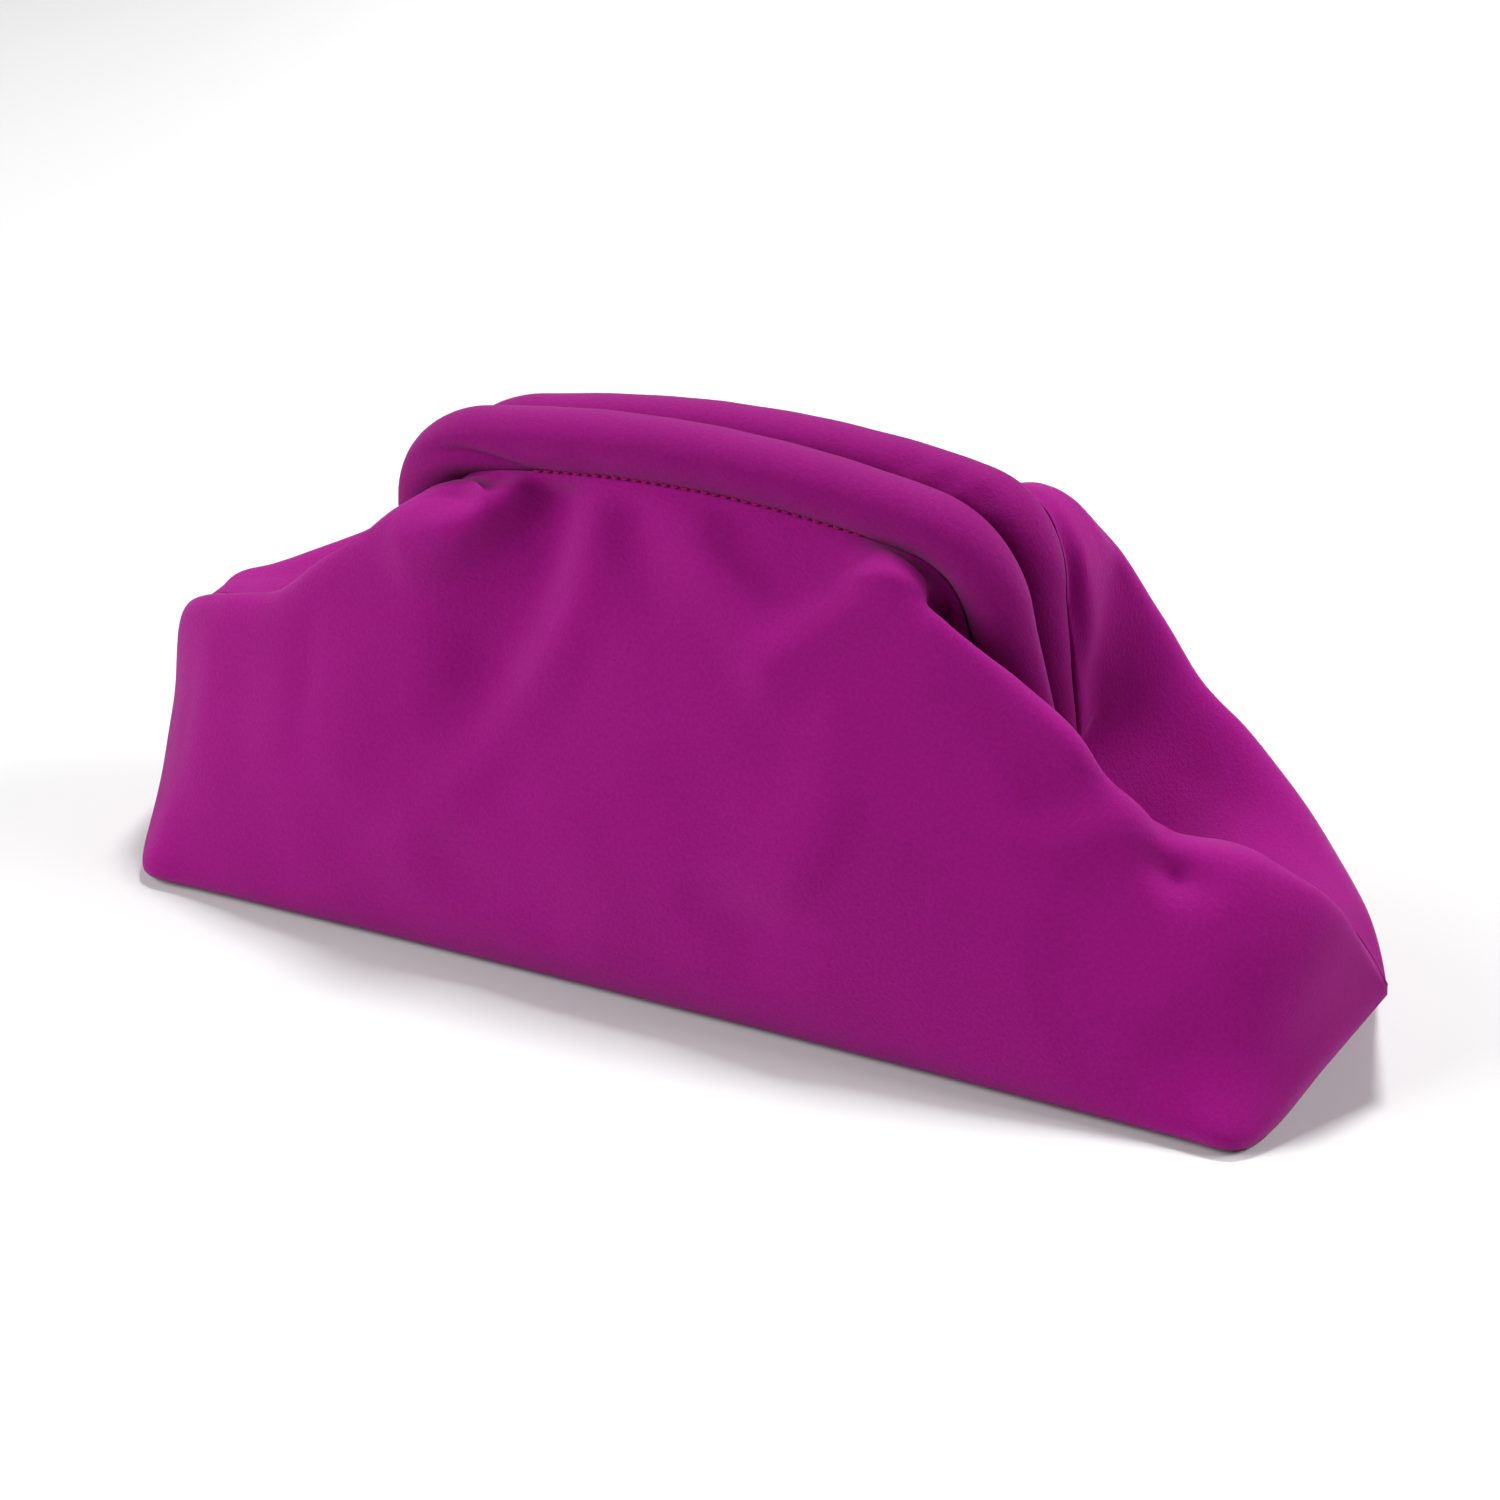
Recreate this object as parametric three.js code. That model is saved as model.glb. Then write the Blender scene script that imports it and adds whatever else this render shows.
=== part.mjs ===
// Soft clutch bag: two gathered panels hang from a hinged frame of two padded rolls.
// Millimetres, +Z up, +X along the length, front face towards -Y, base on Z = 0.
import * as THREE from 'three';

// Frame rolls: an arch, two rounded bends and two leaning legs
const frameTop = 137.4;
const archRadius = 330;
const archHalf = 62.5;
const bendRadius = 24;
const legLean = 9;
const hingeHeight = 80;
const frontShift = -7.2;
const backShift = 0.8;
const hingeShift = -4.2;
const frontShiftFrom = 0.6;
const frontShiftTo = 1;
const backShiftFrom = 0.3;
const backShiftTo = 0.75;
const backTilt = 0.022;
const rollHalfHeight = 8.6;
const rollHalfDepth = 8.6;
const rollHingeDepth = 4.6;
const rollsApart = 0.5;
const rollEndRound = 6;
const rollSides = 12;
const archSteps = 12;
const bendSteps = 7;
const legSteps = 6;
const endSteps = 3;

// Cloth panels
const wall = 2;
const seamGap = 0.3;
const rollGap = 0.3;
const baseHalfDepth = 47;
const edgeInset = 4;
const edgeBulge = 0.8;
const edgeRise = 3.4;
const endTurn = 60;
const endTurnFrom = 100;
const endTurnTo = 165;
const lowBelly = 0.85;
const lowAt = 0.3;
const highAt = 0.68;
const tipInset = 2.6;
const tipHeight = 1;
const columnsPerSection = [3, 3, 3, 2, 2, 2, 2, 2, 2, 2, 2, 2];
const rowsPerLevel = [3, 2, 3, 3, 3, 3, 3];

const named = (columns, rows) => rows.map((row) => {
  return Object.fromEntries(columns.map((column, k) => [column, row[k]]));
});

// Foot and belly of each section, from the middle of the bag out to the tip
const feet = named(
  ['part', 'footX', 'footY', 'footZ', 'leftBelly', 'rightBelly'],
  [
    ['centre', 0, 48.2, 0, 6.5, 6.5],
    ['mid', 27, 48.2, 0, 6.5, 6.5],
    ['arch', 52, 48.3, 0, 6.2, 6.2],
    ['bend', 74, 48.4, 0, 6.0, 6.0],
    ['leg', 90, 48.6, 0, 5.5, 5.5],
    ['flank', 104, 48.8, 0, 5.0, 5.0],
    ['hinge', 116, 49, 0, 4.4, 4.4],
    ['notch', 129, 49.1, 0, 3.6, 3.6],
    ['shoulder', 144, 49.3, 0, 1.8, 0.4],
    ['corner', 156.5, 49.2, 0, -1.2, -4],
    ['fold', 161, 45.5, 0.6, -1.6, -4.2],
    ['ear', 170.2, 21.5, 13.4, 0.5, 0.5],
    ['tip', 178.4, 0.4, 25.6, 0, 0],
  ],
);

// Crest of each section: how far out, how deep on each face, how high in each quarter
const crests = named(
  ['x', 'front', 'back', 'frontLeft', 'frontRight', 'backLeft', 'backRight', 'dip'],
  [
    [0, 24, 24, 113, 113, 113, 113, 0],
    [30, 24, 24, 113, 113, 113, 116, 0],
    [56, 23, 25, 115, 113, 116, 127.5, 0],
    [75, 23, 28, 115.5, 107.5, 117, 129, 0.5],
    [90, 23, 28, 110, 97.5, 113, 119.5, 2.5],
    [103, 23, 28, 100.5, 88.5, 103, 103, 3],
    [114, 23, 28, 92, 79, 94, 87.5, 2],
    [129, 23, 26, 81.5, 67.5, 82, 76.5, 0],
    [146, 21, 22, 76, 67, 74.5, 64.5, 0],
    [156, 18, 18, 73, 60.5, 69.7, 53, 0],
    [166, 13, 13, 65, 51, 66.8, 44.5, 0],
    [173, 6, 6.5, 45, 39.5, 47, 38, 0],
    [178.4, 0.4, 0.4, 27.2, 27.2, 27.2, 27.2, 0],
  ],
);

// Upper edge on the frame: distance along the roll and turn round it from the underside
const frameEdge = named(
  ['along', 'turn'],
  [
    [0, 40],
    [30, 40],
    [56, 40],
    [78, 25],
    [102, 35],
    [122, 45],
  ],
);

// Upper edge past the frame: the side seam in its valley, left and right heights
const seamEdge = named(
  ['leftX', 'rightX', 'left', 'right'],
  [
    [95, 86, 75, 75],
    [113, 112, 70, 61],
    [140, 140, 67.5, 57],
    [156, 156, 66.5, 50],
    [165.5, 165.5, 65, 43],
    [172.5, 172.5, 44, 37],
    [178.4, 178.4, 28.6, 28.6],
  ],
);

// Folds: a line seen from the front, its width, and its height out of the cloth
const foldColumns = ['fold', 'x0', 'z0', 'x1', 'z1', 'width', 'height'];
const frontFolds = named(foldColumns, [
  ['left pleat', -57, 124, -84, 106, 6.5, 4],
  ['left pocket', -86, 121, -68, 121, 5.5, -5],
  ['left valley', -44, 120, -52, 80, 8, -4],
  ['left valley foot', -52, 80, -76, 38, 9, -3],
  ['left valley wall', -62, 104, -76, 60, 15, -3],
  ['left ridge', -28, 118, -38, 84, 8, 3],
  ['left ridge foot', -38, 84, -66, 44, 9, 2.4],
  ['dimple', -16, 116, -13, 106, 6, -1.6],
  ['drape left', 0, 117, 24, 96, 8, 2],
  ['drape right', 26, 96, 48, 116, 9, 2.2],
  ['right pocket', 54, 120, 74, 120, 6.5, -5],
  ['right swell', 60, 104, 92, 90, 8, 2],
  ['soft ridge', 46, 76, 36, 44, 10, 2],
  ['hollow', 94, 80, 107, 79, 8, -3],
  ['loop', 88, 78, 96, 66, 6, 2],
  ['loop foot', 100, 64, 116, 68, 6, 2.2],
  ['low ridge', -96, 44, -52, 18, 8, 1.8],
  ['low valley', -68, 31, -32, 21, 8, -1.8],
]);
const backFolds = named(foldColumns, [
  ['left valley', -44, 120, -64, 66, 10, -4],
  ['left ridge', -20, 118, -40, 84, 10, 3],
  ['right hollow', 30, 112, 52, 60, 12, -3],
  ['right swell', 8, 114, 20, 84, 11, 2.4],
]);

const radians = (degrees) => degrees * Math.PI / 180;
const mix = (a, b, t) => a + (b - a) * t;

function smooth(from, to, value) {
  const t = Math.min(Math.max((value - from) / (to - from), 0), 1);
  return t * t * (3 - 2 * t);
}

// Point and outward normal of the roll's centre line, right half, at a length from its middle
const archTurn = Math.asin(archHalf / archRadius);
const legTurn = Math.PI / 2 - radians(legLean);
const archLength = archRadius * archTurn;
const bendLength = bendRadius * (legTurn - archTurn);
const archEndZ = frameTop - archRadius * (1 - Math.cos(archTurn));
const bendCentreX = archHalf - bendRadius * Math.sin(archTurn);
const bendCentreZ = archEndZ - bendRadius * Math.cos(archTurn);
const legStartX = bendCentreX + bendRadius * Math.sin(legTurn);
const legStartZ = bendCentreZ + bendRadius * Math.cos(legTurn);
const legLength = (legStartZ - hingeHeight) / Math.sin(legTurn);
const halfLength = archLength + bendLength + legLength;

function centreLine(along) {
  if (along <= archLength) {
    const turn = along / archRadius;
    const x = archRadius * Math.sin(turn);
    const z = frameTop - archRadius * (1 - Math.cos(turn));
    return { x, z, normalX: Math.sin(turn), normalZ: Math.cos(turn) };
  }
  const turn = Math.min(archTurn + (along - archLength) / bendRadius, legTurn);
  const down = Math.max(along - archLength - bendLength, 0);
  const x = bendCentreX + bendRadius * Math.sin(turn) + down * Math.cos(legTurn);
  const z = bendCentreZ + bendRadius * Math.cos(turn) - down * Math.sin(legTurn);
  return { x, z, normalX: Math.sin(turn), normalZ: Math.cos(turn) };
}

// Sideways shift of a roll: the front one lies a little left, and both meet at the hinge
function sideShift(along, face) {
  const own = face < 0 ? frontShift : backShift;
  const from = face < 0 ? frontShiftFrom : backShiftFrom;
  const to = face < 0 ? frontShiftTo : backShiftTo;
  return mix(own, hingeShift, smooth(from * halfLength, to * halfLength, along));
}

// Line of one roll on one side: shifted sideways, and the back one a little higher on the right
function rollLine(along, side, face) {
  const line = centreLine(along);
  const tilt = face < 0 ? 0 : backTilt * (1 - smooth(0.6 * halfLength, halfLength, along));
  const x = side * line.x + sideShift(along, face);
  const z = line.z + tilt * side * line.x;
  return { x, z, normalX: side * line.normalX, normalZ: line.normalZ };
}

// Half depth of a roll: round on the arch, flatter where the two rolls meet at the hinge
function halfDepth(along) {
  return mix(rollHalfDepth, rollHingeDepth, smooth(0.45 * halfLength, halfLength, along));
}

// Point a little way off a roll; turn 0 is the underside and 90 the outer face
function besideRoll(along, turn, side, face, off) {
  const line = rollLine(along, side, face);
  const depth = halfDepth(along);
  const drop = (rollHalfHeight + off) * Math.cos(radians(turn));
  const out = depth + rollsApart / 2 + (depth + off) * Math.sin(radians(turn));
  return new THREE.Vector3(line.x - line.normalX * drop, face * out, line.z - line.normalZ * drop);
}

// Centripetal spline through points, with a number of steps for each interval
function spline(points, steps) {
  const first = points[0].clone().multiplyScalar(2).sub(points[1]);
  const last = points.at(-1).clone().multiplyScalar(2).sub(points.at(-2));
  const chain = [first, ...points, last];
  const curve = [];
  for (let i = 0; i + 1 < points.length; i++) {
    const knots = [0];
    for (let k = 0; k < 3; k++) {
      knots.push(knots[k] + Math.max(Math.sqrt(chain[i + k].distanceTo(chain[i + k + 1])), 1e-3));
    }
    for (let q = 0; q < steps[i]; q++) {
      const t = mix(knots[1], knots[2], q / steps[i]);
      let level = chain.slice(i, i + 4);
      for (let span = 1; span <= 3; span++) {
        const start = span === 1 ? 0 : span === 2 ? 0 : 1;
        const count = 4 - span;
        const reach = span === 3 ? 1 : span;
        level = Array.from({ length: count }, (_, k) => {
          const from = knots[k + start];
          const to = knots[k + start + reach];
          return level[k].clone().lerp(level[k + 1], (t - from) / (to - from));
        });
      }
      curve.push(level[0]);
    }
  }
  curve.push(points.at(-1).clone());
  return curve;
}

// Control points of one section, from the bottom seam round the face to the upper edge
function section(index, side, face) {
  const foot = feet[index];
  const crestRow = crests[index];
  const place = (x, y, z) => new THREE.Vector3(side * x, face * y, z);
  const fullness = foot.footY / baseHalfDepth;
  const quarter = (face < 0 ? 'front' : 'back') + (side < 0 ? 'Left' : 'Right');
  const crestY = face < 0 ? crestRow.front : crestRow.back;
  const crest = place(crestRow.x, crestY, crestRow[quarter]);
  const seam = place(foot.footX, seamGap / 2, foot.footZ);
  const edge = place(foot.footX, foot.footY - edgeInset * fullness, foot.footZ);
  const rise = place(foot.footX, foot.footY + edgeBulge * fullness, foot.footZ + edgeRise * fullness);
  const turn = radians(endTurn * smooth(endTurnFrom, endTurnTo, crestRow.x));
  const outward = place(Math.sin(turn), Math.cos(turn), 0);
  const belly = side < 0 ? foot.leftBelly : foot.rightBelly;
  const low = rise.clone().lerp(crest, lowAt).addScaledVector(outward, belly * lowBelly);
  const high = rise.clone().lerp(crest, highAt).addScaledVector(outward, belly);
  const top = upperEdge(index, side, face);
  const behind = crest.clone().lerp(top, 0.5);
  behind.z -= crestRow.dip;
  return [seam, edge, rise, low, high, crest, behind, top];
}

function upperEdge(index, side, face) {
  if (index < frameEdge.length) {
    const hold = frameEdge[index];
    return besideRoll(hold.along, hold.turn, side, face, rollGap);
  }
  const seam = seamEdge[index - frameEdge.length];
  const y = face * seamGap / 2;
  return side < 0
    ? new THREE.Vector3(-seam.leftX, y, seam.left)
    : new THREE.Vector3(seam.rightX, y, seam.right);
}

// Outward height of all folds at a point seen from the front
function foldHeight(point, folds) {
  return folds.reduce((sum, fold) => {
    const runX = fold.x1 - fold.x0;
    const runZ = fold.z1 - fold.z0;
    const share = ((point.x - fold.x0) * runX + (point.z - fold.z0) * runZ) / (runX ** 2 + runZ ** 2);
    const held = Math.min(Math.max(share, 0), 1);
    const awayX = point.x - fold.x0 - held * runX;
    const awayZ = point.z - fold.z0 - held * runZ;
    return sum + fold.height * Math.exp(-(awayX ** 2 + awayZ ** 2) / fold.width ** 2);
  }, 0);
}

// Outward normals of a grid of points
function gridNormals(grid, face) {
  const columns = grid.length;
  const rows = grid[0].length;
  return grid.map((column, i) => column.map((_, j) => {
    const across = grid[Math.min(i + 1, columns - 1)][j].clone().sub(grid[Math.max(i - 1, 0)][j]);
    const up = grid[i][Math.min(j + 1, rows - 1)].clone().sub(grid[i][Math.max(j - 1, 0)]);
    return across.cross(up).multiplyScalar(-face).normalize();
  }));
}

// Outer surface of a panel: sections lofted from the left tip to the right tip, then folded
function outerSurface(face, folds) {
  const last = feet.length - 1;
  const order = Array.from({ length: 2 * last + 1 }, (_, k) => k - last);
  const ribs = order.map((k) => spline(section(Math.abs(k), Math.sign(k) || 1, face), rowsPerLevel));
  const steps = [...columnsPerSection.toReversed(), ...columnsPerSection];
  const lines = ribs[0].map((_, j) => spline(ribs.map((rib) => rib[j]), steps));
  const grid = lines[0].map((_, i) => lines.map((line) => line[i]));
  holdOnFrame(grid, face);
  const foldFrom = rowsPerLevel[0] + rowsPerLevel[1];
  const foldFull = foldFrom + rowsPerLevel[2];
  const rows = grid[0].length - 1;
  const fadeFrom = rows - 4;
  const normals = gridNormals(grid, face);
  const outer = grid.map((column, i) => column.map((point, j) => {
    const fade = smooth(foldFrom, foldFull, j) * (1 - smooth(fadeFrom, rows, j));
    const folded = point.clone().addScaledVector(normals[i][j], fade * foldHeight(point, folds));
    folded.y = face * Math.max(face * folded.y, seamGap / 2);
    folded.z = Math.max(folded.z, 0);
    return folded;
  }));
  return { outer, normals };
}

// Share of the way along the frame table for a column, or null past the frame
function frameShare(column, columns) {
  let left = Math.abs(column - (columns - 1) / 2);
  for (let k = 0; k + 1 < frameEdge.length; k++) {
    if (left <= columnsPerSection[k]) {
      return k + left / columnsPerSection[k];
    }
    left -= columnsPerSection[k];
  }
  return null;
}

// Place on the roll that holds a column of the panel
function frameHold(share) {
  const low = Math.min(Math.floor(share), frameEdge.length - 2);
  const along = mix(frameEdge[low].along, frameEdge[low + 1].along, share - low);
  const turn = mix(frameEdge[low].turn, frameEdge[low + 1].turn, share - low);
  return { along, turn };
}

// The same point, pushed out to the gap if it lies closer to the roll than that
function clearOfRoll(point, along, side, face) {
  const line = rollLine(along, side, face);
  const depth = halfDepth(along);
  const middleY = face * (depth + rollsApart / 2);
  const lift = (point.x - line.x) * line.normalX + (point.z - line.z) * line.normalZ;
  const reach = Math.hypot(lift / (rollHalfHeight + rollGap), (point.y - middleY) / (depth + rollGap));
  const push = lift * (1 / Math.min(reach, 1) - 1);
  const y = middleY + (point.y - middleY) / Math.min(reach, 1);
  return new THREE.Vector3(point.x + line.normalX * push, y, point.z + line.normalZ * push);
}

function holdOnFrame(grid, face) {
  grid.forEach((column, i) => {
    const share = frameShare(i, grid.length);
    if (share !== null) {
      const side = i < (grid.length - 1) / 2 ? -1 : 1;
      const { along, turn } = frameHold(share);
      column[column.length - 1] = besideRoll(along, turn, side, face, rollGap);
    }
  });
}

// Inner surface of a panel: the outer one moved in by the wall, flush at seams and frame
function innerSurface(outer, normals, face) {
  const columns = outer.length;
  const rows = outer[0].length;
  return outer.map((column, i) => {
    const fromTip = Math.min(i, columns - 1 - i);
    const side = i < (columns - 1) / 2 ? -1 : 1;
    const share = frameShare(i, columns);
    const thick = wall * Math.min(1, 0.25 + 0.25 * fromTip);
    return column.map((point, j) => {
      if (fromTip === 0) {
        const middle = 0.5 * (column[0].z + column[rows - 1].z);
        const height = middle + tipHeight * (j / (rows - 1) - 0.5);
        return new THREE.Vector3(point.x - side * tipInset, face * seamGap / 2, height);
      }
      const inner = point.clone().addScaledVector(normals[i][j], -thick);
      if (j === rows - 1 && share !== null) {
        return clearOfRoll(inner, frameHold(share).along, side, face);
      }
      if (j === rows - 1) {
        inner.set(point.x, point.y, point.z - thick);
      }
      if (j === 0) {
        inner.y = face * seamGap / 2;
      }
      inner.y = face * Math.max(face * inner.y, seamGap / 2);
      return inner;
    });
  });
}

// Triangles between two neighbouring lines of point numbers
function strip(near, far, triangles, inward = false) {
  for (let k = 0; k + 1 < near.length; k++) {
    const pair = [[near[k], far[k], far[k + 1]], [near[k], far[k + 1], near[k + 1]]];
    triangles.push(...(inward ? pair.map((triangle) => triangle.toReversed()) : pair));
  }
}

function solid(name, points, triangles, flip, colour) {
  const geometry = new THREE.BufferGeometry();
  geometry.setAttribute('position', new THREE.Float32BufferAttribute(points.flatMap((p) => p.toArray()), 3));
  geometry.setIndex(triangles.flatMap((t) => (flip ? [t[0], t[2], t[1]] : t)));
  geometry.computeVertexNormals();
  const material = new THREE.MeshStandardMaterial({ color: colour, roughness: 0.85 });
  const mesh = new THREE.Mesh(geometry, material);
  mesh.name = name;
  return mesh;
}

// Panel solid: outer and inner surfaces joined by a rim all round
function panel(name, face, folds, colour) {
  const { outer, normals } = outerSurface(face, folds);
  const inner = innerSurface(outer, normals, face);
  const columns = outer.length;
  const rows = outer[0].length;
  const points = [...outer.flat(), ...inner.flat()];
  const outerAt = (i, j) => i * rows + j;
  const innerAt = (i, j) => columns * rows + i * rows + j;
  const alongRow = (at, j) => Array.from({ length: columns }, (_, i) => at(i, j));
  const alongColumn = (at, i) => Array.from({ length: rows }, (_, j) => at(i, j));
  const triangles = [];
  for (let i = 0; i + 1 < columns; i++) {
    strip(alongColumn(outerAt, i), alongColumn(outerAt, i + 1), triangles);
    strip(alongColumn(innerAt, i), alongColumn(innerAt, i + 1), triangles, true);
  }
  strip(alongColumn(innerAt, 0), alongColumn(outerAt, 0), triangles);
  strip(alongColumn(outerAt, columns - 1), alongColumn(innerAt, columns - 1), triangles);
  strip(alongRow(outerAt, 0), alongRow(innerAt, 0), triangles);
  strip(alongRow(innerAt, rows - 1), alongRow(outerAt, rows - 1), triangles);
  return solid(name, points, triangles, face > 0, colour);
}

// Stations along one half of a roll, closer together on the bend and at the rounded end
function rollStations() {
  const straight = halfLength - archLength - bendLength - rollEndRound;
  const stations = [];
  for (let k = 0; k < archSteps; k++) {
    stations.push(archLength * k / archSteps);
  }
  for (let k = 0; k < bendSteps; k++) {
    stations.push(archLength + bendLength * k / bendSteps);
  }
  for (let k = 0; k < legSteps; k++) {
    stations.push(archLength + bendLength + straight * k / legSteps);
  }
  for (let k = 0; k < endSteps; k++) {
    stations.push(halfLength - rollEndRound * Math.cos(Math.PI / 2 * k / endSteps));
  }
  return stations;
}

// Roll solid: rings round the centre line, closed at each rounded end by one point
function roll(name, face, colour) {
  const half = rollStations();
  const stations = [...half.slice(1).reverse().map((s) => -s), ...half];
  const rings = stations.map((station) => {
    const along = Math.abs(station);
    const side = station < 0 ? -1 : 1;
    const line = rollLine(along, side, face);
    const past = Math.max(along - halfLength + rollEndRound, 0) / rollEndRound;
    const round = Math.sqrt(1 - past ** 2);
    const depth = halfDepth(along);
    return Array.from({ length: rollSides }, (_, k) => {
      const turn = 2 * Math.PI * k / rollSides;
      const lift = rollHalfHeight * round * Math.cos(turn);
      const y = face * (depth + rollsApart / 2) + depth * round * Math.sin(turn);
      return new THREE.Vector3(line.x + line.normalX * lift, y, line.z + line.normalZ * lift);
    });
  });
  const end = centreLine(halfLength);
  const endY = face * (halfDepth(halfLength) + rollsApart / 2);
  const points = rings.flat();
  points.push(new THREE.Vector3(hingeShift - end.x, endY, end.z));
  points.push(new THREE.Vector3(hingeShift + end.x, endY, end.z));
  const ring = (i) => Array.from({ length: rollSides + 1 }, (_, k) => i * rollSides + k % rollSides);
  const triangles = [];
  for (let i = 0; i + 1 < rings.length; i++) {
    strip(ring(i), ring(i + 1), triangles);
  }
  const lastRing = ring(rings.length - 1);
  for (let k = 0; k < rollSides; k++) {
    triangles.push([rings.length * rollSides, ring(0)[k], ring(0)[k + 1]]);
    triangles.push([rings.length * rollSides + 1, lastRing[k + 1], lastRing[k]]);
  }
  return solid(name, points, triangles, false, colour);
}

const clothColour = 0x8f1f80;
const rollColour = 0x972488;
const bag = new THREE.Group();
bag.name = 'clutch_bag';
bag.add(panel('front_panel', -1, frontFolds, clothColour));
bag.add(panel('back_panel', 1, backFolds, clothColour));
bag.add(roll('front_roll', -1, rollColour));
bag.add(roll('back_roll', 1, rollColour));
export default bag;
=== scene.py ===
"""Looks of a soft clutch bag: two gathered cloth panels hung from a hinged frame of two padded rolls.

Tables and sizes are in millimetres and become metres where a mesh is made.
+X runs along the bag, the front face looks towards -Y, and the base stands on Z = 0.
"""
import logging
import math
from dataclasses import dataclass
from enum import Enum
from functools import cached_property

import bpy
import numpy as np
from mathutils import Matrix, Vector


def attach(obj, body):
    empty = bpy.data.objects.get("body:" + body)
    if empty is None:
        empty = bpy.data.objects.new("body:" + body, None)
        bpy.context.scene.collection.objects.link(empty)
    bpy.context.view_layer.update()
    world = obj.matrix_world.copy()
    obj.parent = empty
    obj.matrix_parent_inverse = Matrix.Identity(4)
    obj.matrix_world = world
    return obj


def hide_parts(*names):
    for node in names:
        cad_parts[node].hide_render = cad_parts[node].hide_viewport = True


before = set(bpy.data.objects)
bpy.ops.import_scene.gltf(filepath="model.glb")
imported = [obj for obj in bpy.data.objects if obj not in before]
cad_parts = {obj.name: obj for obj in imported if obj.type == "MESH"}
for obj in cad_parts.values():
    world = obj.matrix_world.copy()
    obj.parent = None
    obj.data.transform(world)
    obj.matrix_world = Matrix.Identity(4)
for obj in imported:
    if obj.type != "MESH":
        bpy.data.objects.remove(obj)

Array = np.ndarray
Pair = tuple[float, float]
Triple = tuple[float, float, float]
Quad = tuple[float, float, float, float]
MM = 0.001
LEAST_GAP = 1e-6
LEAST_NORMAL = 1e-9
LOG = logging.getLogger("clutch_bag")


class Face(Enum):
    """Which of the two faces of the bag a piece belongs to, as the sign of its depth."""

    FRONT = -1
    BACK = 1


class FoldShape(Enum):
    """How the cloth rises and falls across a fold."""

    SOFT = "soft"
    CREASE = "crease"


class FoldReach(Enum):
    """How far a fold goes over a panel: all of it, or the gather behind its crest alone."""

    WHOLE = "whole"
    GATHER = "gather"


@dataclass(frozen=True)
class Fold:
    """A fold of the cloth along a curve through three points seen from the front.

    Widths and heights are given at its start, middle and end. A height above zero stands out of the
    cloth. On its right side, looking from start to end, the width is skew times as great.
    """

    name: str
    path: tuple[Pair, Pair, Pair]
    width: Triple
    height: Triple
    skew: float = 1.0
    shape: FoldShape = FoldShape.SOFT
    reach: FoldReach = FoldReach.WHOLE


@dataclass(frozen=True)
class Section:
    """One upright slice of a panel, from the bottom seam to the frame or the side seam.

    Two belly or crown values are for the left and right half, and two crest depths are for the front
    and back. Four values in a row are for the front left, front right, back left and back right.
    """

    part: str
    foot: Triple
    belly: Pair
    crest_x: float
    crest_depth: Pair
    crest_height: Quad
    dip: Quad
    crown: Pair = (0.0, 0.0)


SECTIONS: tuple[Section, ...] = (
    Section("centre", (0, 48.2, 0), (6.5, 6.5), 0, (24, 24), (113, 113, 113, 113), (0, 0, 0, 0)),
    Section("mid", (27, 48.2, 0), (6.5, 6.5), 30, (24, 24), (113, 113, 113, 116), (0, 0, 0, 0)),
    Section("arch", (52, 48.3, 0), (6.2, 6.2), 56, (23, 25), (115, 117, 116, 127.5), (0, 0, 0, 0)),
    Section("bend", (74, 48.4, 0), (6.0, 6.0), 75, (23, 28), (120, 107.5, 117, 129), (2, 6, 2, -2)),
    Section("leg", (90, 48.6, 0), (5.5, 5.5), 90, (23, 28), (113.5, 97.5, 113, 119.5), (3, 6.5, 3, -4)),
    Section("flank", (104, 48.8, 0), (5.0, 5.0), 103, (23, 28), (103.5, 88.5, 103, 103), (3, 5, 3, -3)),
    Section("hinge", (116, 49, 0), (4.4, 4.4), 114, (23, 28), (95, 77.4, 94, 87.5), (2, 4, 2, 0)),
    Section("notch", (129, 49.1, 0), (3.6, 3.6), 129, (23, 26), (82, 65.4, 82, 76.5), (0, -5, 0, 0),
            (0, 0.5)),
    Section("shoulder", (144, 49.3, 0), (1.6, 0.5), 146, (21, 22), (77, 68, 74, 64.5), (0, -2.5, 0, 0),
            (0, 2.5)),
    Section("corner", (156.5, 49.2, 0), (-2, -2), 156, (18, 18), (73, 63.8, 69.2, 53), (0, 0, 0, 0),
            (0, 3.5)),
    Section("fold", (161, 45.5, 0.6), (-2.4, -2), 166, (13, 13), (65, 57.5, 65.4, 44.5), (0, 0, 0, 0),
            (0, 3)),
    Section("ear", (170.2, 21.5, 13.4), (0.5, 0.5), 173, (6, 6.5), (45, 41, 47, 38), (0, 0, 0, 0)),
    Section("tip", (178.4, 0.4, 25.6), (0, 0), 178.4, (0.4, 0.4), (27.2, 27.2, 27.2, 27.2), (0, 0, 0, 0)),
)

# Upper edge on the frame: distance along the roll, then its turn round the roll from the underside
# in degrees, on the left and on the right
FRONT_HOLDS: tuple[Triple, ...] = (
    (0, 40, 40), (30, 40, 40), (56, 40, 40), (78, 25, 25), (102, 35, 35), (133, 45, 45),
)
BACK_HOLDS: tuple[Triple, ...] = (
    (0, 40, 40), (30, 40, 50), (56, 45, 100), (78, 50, 150), (102, 60, 172), (133, 60, 165),
)

# Upper edge past the frame, the side seam in its valley: left x, right x, left height, right height
SIDE_SEAM: tuple[Quad, ...] = (
    (95, 88, 69, 66), (113, 112, 68, 54), (140, 140, 67.5, 55), (156, 156, 66.5, 51),
    (165.5, 165.5, 65, 44.5), (172.5, 172.5, 44, 37), (178.4, 178.4, 28.6, 28.6),
)

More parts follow.
